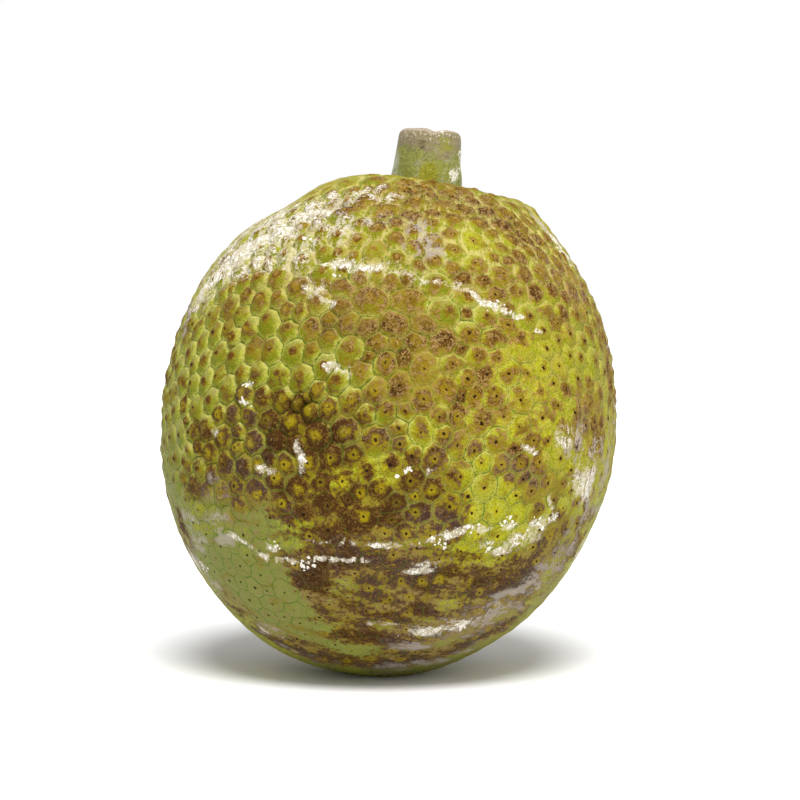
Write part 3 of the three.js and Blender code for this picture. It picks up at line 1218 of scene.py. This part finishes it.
def grow_stalk(stalk):
    """The stub: its outline spun about its axis, dented, ribbed and sunk at the cut."""
    bm = bmesh.new()
    stain = bm.verts.layers.float_color.new("stain")
    ring = [bm.verts.new(stalk_point(0, r, z)) for r, z in stalk_profile(stalk)]
    edges = [bm.edges.new(pair) for pair in zip(ring, ring[1:])]
    bmesh.ops.spin(
        bm,
        geom=ring + edges,
        cent=STALK_MIDDLE,
        axis=UP,
        dvec=Vector(),
        angle=math.tau,
        steps=STALK_SIDES,
        use_merge=True,
    )
    bmesh.ops.remove_doubles(bm, verts=bm.verts, dist=0.01 * MM)
    bmesh.ops.recalc_face_normals(bm, faces=bm.faces)
    height = STALK_HIGH.z - STALK_LOW.z
    for v in bm.verts:
        turn = stalk_turn(v.co)
        outwards = Vector((v.co.x - STALK_MIDDLE.x, v.co.y - STALK_MIDDLE.y, 0))
        far = outwards.length / STALK_RADIUS
        up = (v.co.z - STALK_LOW.z) / height
        size, depth = STALK_DENTS
        dents = noise.noise(v.co / size) * depth
        ribs = math.cos(math.radians(turn) * RIBS + RIB_START) * RIB_HEIGHT
        sag = SAG * math.exp(-(((turn - 12) / 16) ** 2)) * max(up - 0.8, 0) / 0.2
        low_side = LOW_SIDE * smooth((turn + 10) / 100) * max(up - 0.6, 0) / 0.4
        v.co += outwards.normalized() * (dents + ribs) * min(far, 1.0)
        v.co.x -= stalk.lean * (1 - up)
        v.co.z -= (sag * min(far * 1.6, 1.0) + low_side + abs(dents) * 0.3) * (up > 0.5)
        v[stain] = stalk_marks(turn, up, far)
    return bm


def spot(turn, up, middle, width):
    """A soft spot on the stalk: its middle and width as (turn in degrees, share of the way up)."""
    aside = (turn - middle[0]) / width[0]
    above = (up - middle[1]) / width[1]
    return math.exp(-(aside**2) - above**2)


def stalk_marks(turn, up, far):
    """How dusty, latexed, bare and woody the stalk is: turn is in degrees, up goes from its foot
    to its cut and far from its axis to its skin. Less than bare is scarred and less than woody
    is hazed."""
    dusty = smooth((up - 0.45) / 0.55) + 0.5 * spot(turn, up, (15, 0.62), (30, 0.1))
    latexed = spot(turn, up, (78, 0.58), (20, 0.2)) + spot(turn, up, (46, 0.36), (11, 0.08))
    latexed += 0.7 * spot(turn, up, (-150, 0.6), (40, 0.5))
    latexed += 0.5 * spot(turn, up, (20, 1), (20, 0.1))
    bare = spot(turn, up, (3, 0.38), (15, 0.16)) + 0.6 * spot(turn, up, (32, 0.78), (16, 0.14))
    bare += 0.8 * spot(turn, up, (170, 0.5), (30, 0.2)) - spot(turn, up, (-12, 0.78), (9, 0.06))
    hazed = spot(turn, up, (-82, 0.4), (26, 0.4))
    wood = smooth((0.86 - far) / 0.1) * (up > 0.7)
    return (min(dusty, 1.0), min(latexed, 1.0), bare, wood - hazed)


# Fruit stalk: green skin with a wax bloom, turning grey and corky towards the dried cut.
def stalk_material(stalk, rind):
    material, tree = new_material("Waxy_stalk_skin")
    place = add(tree, "TexCoord").outputs["Object"]
    dusty, latexed, bare, wood = attribute(tree, "stain")
    upright = add(tree, "Mapping", {"Vector": place, "Scale": (1.0, 1.0, 0.15)})
    patchy, grain, grit, fibres = [
        add(
            tree,
            "TexNoise",
            {"Vector": where, "Scale": per_mm(size), "Detail": detail, "Roughness": CRISPNESS},
            normalize=False,
        )
        for where, size, detail in (
            (place, 5, 5.0),
            (place, 1.2, 4.0),
            (place, 0.5, 2.0),
            (upright, 1.2, 3.0),
        )
    ]
    beside_latex = cover(tree, 0.2, 0.5, (latexed, 1.0))
    near_cut = cover(tree, 0.5, 0.95, (dusty, 1.0))
    pores = add(tree, "TexVoronoi", {"Vector": place, "Scale": per_mm(0.9)})
    coats = [
        (rind.olive, 0.5, 0.5, cover(tree, -0.2, 0.5, (fibres, 1.0), (patchy, 0.6))),
        (stalk.haze, 0.55, 0.3, cover(tree, 0.0, 0.5, (patchy, 1.0), (grit, 0.3))),
        (stalk.haze, 0.6, 0.7, cover(tree, 0.1, 0.9, (wood, -1.0), (patchy, 0.4), (grit, 0.3))),
        (stalk.bright, 0.35, 0.95, cover(tree, 0.1, 0.6, (bare, 1.0), (patchy, 0.3))),
        (stalk.dust, 0.75, 0.85, cover(tree, 0.2, 0.8, (dusty, 1.0), (patchy, 0.6), (bare, -0.5))),
        (stalk.wood, 0.75, 0.5, cover(tree, 0.3, 0.6, (dusty, 0.5), (grit, 0.8), (grain, 0.5))),
        (stalk.fleck, 0.7, 0.55, near_cut, cover(tree, 0.25, 0.4, (grit, 0.9), (grain, 0.7))),
        (stalk.wood, 0.7, 1.0, cover(tree, 0.3, 0.8, (bare, -1.0), (grain, 0.4))),
        (stalk.cut, 0.85, 1.0, cover(tree, 0.4, 0.7, (wood, 1.0))),
        (stalk.wood, 0.9, 1.0, cover(tree, 0.35, 0.15, (pores.outputs['Distance'], 1.0)), wood),
        (
            rind.latex,
            0.6,
            0.85,
            beside_latex,
            cover(tree, 0.45, 0.7, (latexed, 1.0), (grain, 0.7), (grit, 0.3), (patchy, 0.6)),
        ),
    ]
    colour, roughness = lay_over(tree, stalk.green, 0.5, coats)
    relief = add(tree, "Math", {0: fibres, 1: 1.0, 2: grain}, operation="MULTIPLY_ADD")
    finish_material(
        tree, colour, roughness, relief, 0.12 * MM, IOR=1.45, Specular_IOR_Level=0.25
    )
    return material


# ---------------------------------------------------------------- crusts of dried latex

# Where latex dried thick: turn, rise, reach in mm, and how many flakes.
CRUSTS = (
    (-37, 13.5, 1.3, 9),
    (-37.5, 9, 1.5, 9),
    (5, -6.5, 1.8, 7),
    (2, -8, 1.2, 4),
    (-21, -4, 1.0, 6),
    (30, 32, 3.0, 7),
    (24, 35, 2.0, 4),
    (-15, 43, 3.0, 9),
    (-8, 43, 2.0, 5),
    (23, -21, 2.4, 8),
    (32, -20, 2.6, 9),
    (43, -21, 3.4, 14),
    (13, -24, 3.6, 12),
    (28, -27, 1.2, 5),
    (28, -51, 1.8, 8),
    (-31, -26, 1.8, 7),
    (-24, -30, 4.0, 12),
    (-66, -34, 2.6, 10),
    (-62, 49, 5.0, 16),
    (-42, 53, 5.0, 14),
    (77, 45, 4.0, 12),
    (-120, 30, 5.0, 18),
    (150, 40, 4.0, 14),
    (-160, -20, 6.0, 20),
    (120, -30, 4.0, 14),
)


FLAKE_SIZES = (0.22, 0.62)  # radius in mm
UNDERSIDE = 0.7  # how deep a flake sinks in, as a share of its height
RAGGED = (1.9, 1.1)  # how fine the noise on a flake's outline is, and how strong
LUMPY = (2.7, 0.6)  # the same for its height
SCATTER = (0.7, 0.3)  # sideways and up, as shares of a crust's reach


def crust(bm, rind_tree, middle, size, thickness, draw):
    """One flake: a flattened ball with a ragged outline, draped over the florets."""
    out = (middle - MIDDLE).normalized()
    across = out.orthogonal().normalized()
    frame_axes = Matrix((across, out.cross(across), out)).transposed()
    spin = Matrix.Rotation(draw.uniform(0, math.tau), 3, out)
    stretch = draw.uniform(0.55, 1.0)
    ball = bmesh.ops.create_icosphere(bm, subdivisions=2, radius=1.0)["verts"]
    for v in ball:
        lobe = 1 + RAGGED[1] * noise.noise(v.co * RAGGED[0] + middle / MM)
        flat = Vector((v.co.x * lobe * size, v.co.y * lobe * size * stretch, 0))
        height = thickness * v.co.z * (1.0 if v.co.z > 0 else UNDERSIDE)
        height *= 1 + LUMPY[1] * noise.noise(v.co * LUMPY[0] + middle / MM)
        direction = (middle + spin @ (frame_axes @ flat) - MIDDLE).normalized()
        hit = rind_tree.ray_cast(MIDDLE, direction)[0]
        v.co = hit + direction * height


def dry_latex(rind_piece, settings, draw):
    """All the crusts, scattered about their places."""
    rind_tree = BVHTree.FromPolygons(
        [v.co for v in rind_piece.data.vertices], [p.vertices for p in rind_piece.data.polygons]
    )
    bm = bmesh.new()
    for turn, rise, reach, flakes in CRUSTS:
        for _ in range(flakes):
            stray = math.degrees(reach * MM / HALF_WIDTH)
            aside, above = [draw.gauss(0, spread) * stray for spread in SCATTER]
            direction = toward(turn + aside, rise + above)
            hit = rind_tree.ray_cast(MIDDLE, direction)[0]
            size = draw.uniform(*FLAKE_SIZES) * MM
            crust(bm, rind_tree, hit, size, settings.thickness * draw.uniform(0.4, 1.0), draw)
    return bm


# Dried latex: the fruit's white sap, set into a matt, slightly yellowed rubbery crust.
def latex_material(rind):
    material, tree = new_material("Dried_latex_crust")
    place = add(tree, "TexCoord").outputs["Object"]
    patchy = add(tree, "TexNoise", {"Vector": place, "Scale": per_mm(1.6), "Detail": 4.0})
    grain = add(tree, "TexNoise", {"Vector": place, "Scale": per_mm(0.35), "Detail": 3.0})
    coats = [
        (rind.film, 0.7, 1.0, cover(tree, 0.45, 0.75, (patchy, 1.0))),
        (rind.russet, 0.7, 0.4, cover(tree, 0.6, 0.7, (grain, 1.0))),
    ]
    colour, roughness = lay_over(tree, rind.latex, 0.6, coats)
    finish_material(tree, colour, roughness, grain, 0.1 * MM, IOR=1.52)
    return material


# ---------------------------------------------------------------- the stage

LAMPS = (
    # name, turn, rise, strength, width of its disc in degrees
    ("Overhead_softbox", 6, 58, 4.05, 30),
    ("Front_fill", 40, 5, 0.9, 80),
)
FLOOR_SIZE = 4.0
VIEW_END = 20.0  # past the floor's far edge
AIM = Vector((3.2, 0, 7)) * MM  # from the fruit's middle to the middle of the view


def lamp(name, turn, rise, strength, width):
    light = bpy.data.lights.new(name, "SUN")
    light.energy = strength
    light.angle = math.radians(width)
    shown = bpy.data.objects.new(name, light)
    shown.rotation_euler = toward(turn, rise).to_track_quat("Z", "Y").to_euler()
    bpy.context.scene.collection.objects.link(shown)


def white_to_the_eye(tree):
    """1 for the rays that see the white surroundings themselves, and 0 for those that light."""
    ray = add(tree, "LightPath")
    seen = ray.outputs["Is Camera Ray"]
    for other in ("Is Glossy Ray", "Is Transmission Ray"):
        seen = add(tree, "Math", {0: seen, 1: ray.outputs[other]}, operation="MAXIMUM")
    return seen


def light_world(level):
    world = bpy.data.worlds.new("White_tent")
    bpy.context.scene.world = world
    world.use_nodes = True
    tree = world.node_tree
    tree.nodes.clear()
    strength = add(tree, "Mix", {0: white_to_the_eye(tree), 2: level, 3: 1.0})
    backdrop = add(tree, "Background", {"Color": (1, 1, 1, 1), "Strength": strength})
    add(tree, "OutputWorld", {"Surface": backdrop})


def lay_floor():
    bm = bmesh.new()
    bmesh.ops.create_grid(bm, x_segments=1, y_segments=1, size=FLOOR_SIZE / 2)
    mesh = bpy.data.meshes.new("floor")
    bm.to_mesh(mesh)
    bm.free()
    material, tree = new_material("Matt_white_paper")
    seen = white_to_the_eye(tree)
    paper = add(tree, "Mix", {0: seen, 6: srgb("#F6F6F6"), 7: srgb("#FBFBFB")}, data_type="RGBA")
    shader = add(tree, "BsdfPrincipled", {"Base Color": paper, "Roughness": 0.9})
    add(tree, "OutputMaterial", {"Surface": shader})
    mesh.materials.append(material)
    floor = bpy.data.objects.new("floor", mesh)
    bpy.context.scene.collection.objects.link(floor)


def place_camera(stage):
    camera = bpy.data.cameras.new("Camera")
    camera.lens = camera.sensor_width * stage.distance / stage.view_width
    camera.clip_end = VIEW_END
    shown = bpy.data.objects.new("Camera", camera)
    back = toward(0, math.degrees(stage.height))
    shown.location = MIDDLE + AIM + back * stage.distance
    shown.rotation_euler = back.to_track_quat("Z", "Y").to_euler()
    bpy.context.scene.collection.objects.link(shown)
    bpy.context.scene.camera = shown


# ---------------------------------------------------------------- operators and panel


class BREADFRUIT_OT_grow_rind(bpy.types.Operator):
    """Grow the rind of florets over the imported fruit"""

    bl_idname = "breadfruit.grow_rind"
    bl_label = "Grow Rind"

    def execute(self, context):
        rind = context.scene.breadfruit_rind
        draw = random.Random(rind.seed)
        bm = floret_outlines(rind, draw)
        grow_florets(bm, rind, draw)
        piece = make_piece(bm, "rind", rind_material(rind))
        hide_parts("fruit")
        return {"FINISHED"}


class BREADFRUIT_OT_cut_stalk(bpy.types.Operator):
    """Make the cut stub of the stalk"""

    bl_idname = "breadfruit.cut_stalk"
    bl_label = "Cut Stalk"

    def execute(self, context):
        scene = context.scene
        bm = grow_stalk(scene.breadfruit_stalk)
        material = stalk_material(scene.breadfruit_stalk, scene.breadfruit_rind)
        piece = make_piece(bm, "stalk_stub", material)
        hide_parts("stalk")
        return {"FINISHED"}


class BREADFRUIT_OT_dry_latex(bpy.types.Operator):
    """Drape crusts of dried latex over the rind"""

    bl_idname = "breadfruit.dry_latex"
    bl_label = "Dry Latex"

    def execute(self, context):
        scene = context.scene
        draw = random.Random(scene.breadfruit_latex.seed)
        bm = dry_latex(bpy.data.objects["rind"], scene.breadfruit_latex, draw)
        make_piece(bm, "dried_latex", latex_material(scene.breadfruit_rind))
        return {"FINISHED"}


class BREADFRUIT_OT_set_stage(bpy.types.Operator):
    """Lay the floor, light the tent and place the camera"""

    bl_idname = "breadfruit.set_stage"
    bl_label = "Set Stage"

    def execute(self, context):
        stage = context.scene.breadfruit_stage
        context.scene.view_settings.view_transform = "Standard"
        lay_floor()
        light_world(stage.tent_light)
        for row in LAMPS:
            lamp(*row)
        place_camera(stage)
        return {"FINISHED"}


class BREADFRUIT_PT_panel(bpy.types.Panel):
    bl_label = "Breadfruit"
    bl_idname = "BREADFRUIT_PT_panel"
    bl_space_type = "VIEW_3D"
    bl_region_type = "UI"
    bl_category = "Breadfruit"

    def draw(self, context):
        for operator in OPERATORS:
            self.layout.operator(operator.bl_idname)
        for name in SETTINGS:
            box = self.layout.box()
            settings = getattr(context.scene, name)
            for shown in settings.__annotations__:
                box.prop(settings, shown)


SETTINGS = {
    "breadfruit_rind": RindSettings,
    "breadfruit_stalk": StalkSettings,
    "breadfruit_latex": LatexSettings,
    "breadfruit_stage": StageSettings,
}
OPERATORS = (
    BREADFRUIT_OT_grow_rind,
    BREADFRUIT_OT_cut_stalk,
    BREADFRUIT_OT_dry_latex,
    BREADFRUIT_OT_set_stage,
)
CLASSES = (*SETTINGS.values(), *OPERATORS, BREADFRUIT_PT_panel)


def register():
    for cls in CLASSES:
        bpy.utils.register_class(cls)
    for name, group in SETTINGS.items():
        setattr(bpy.types.Scene, name, PointerProperty(type=group))


def unregister():
    for name in SETTINGS:
        delattr(bpy.types.Scene, name)
    for cls in reversed(CLASSES):
        bpy.utils.unregister_class(cls)


def main():
    register()
    bpy.ops.breadfruit.grow_rind()
    bpy.ops.breadfruit.cut_stalk()
    bpy.ops.breadfruit.dry_latex()
    bpy.ops.breadfruit.set_stage()


if __name__ == "__main__":
    main()
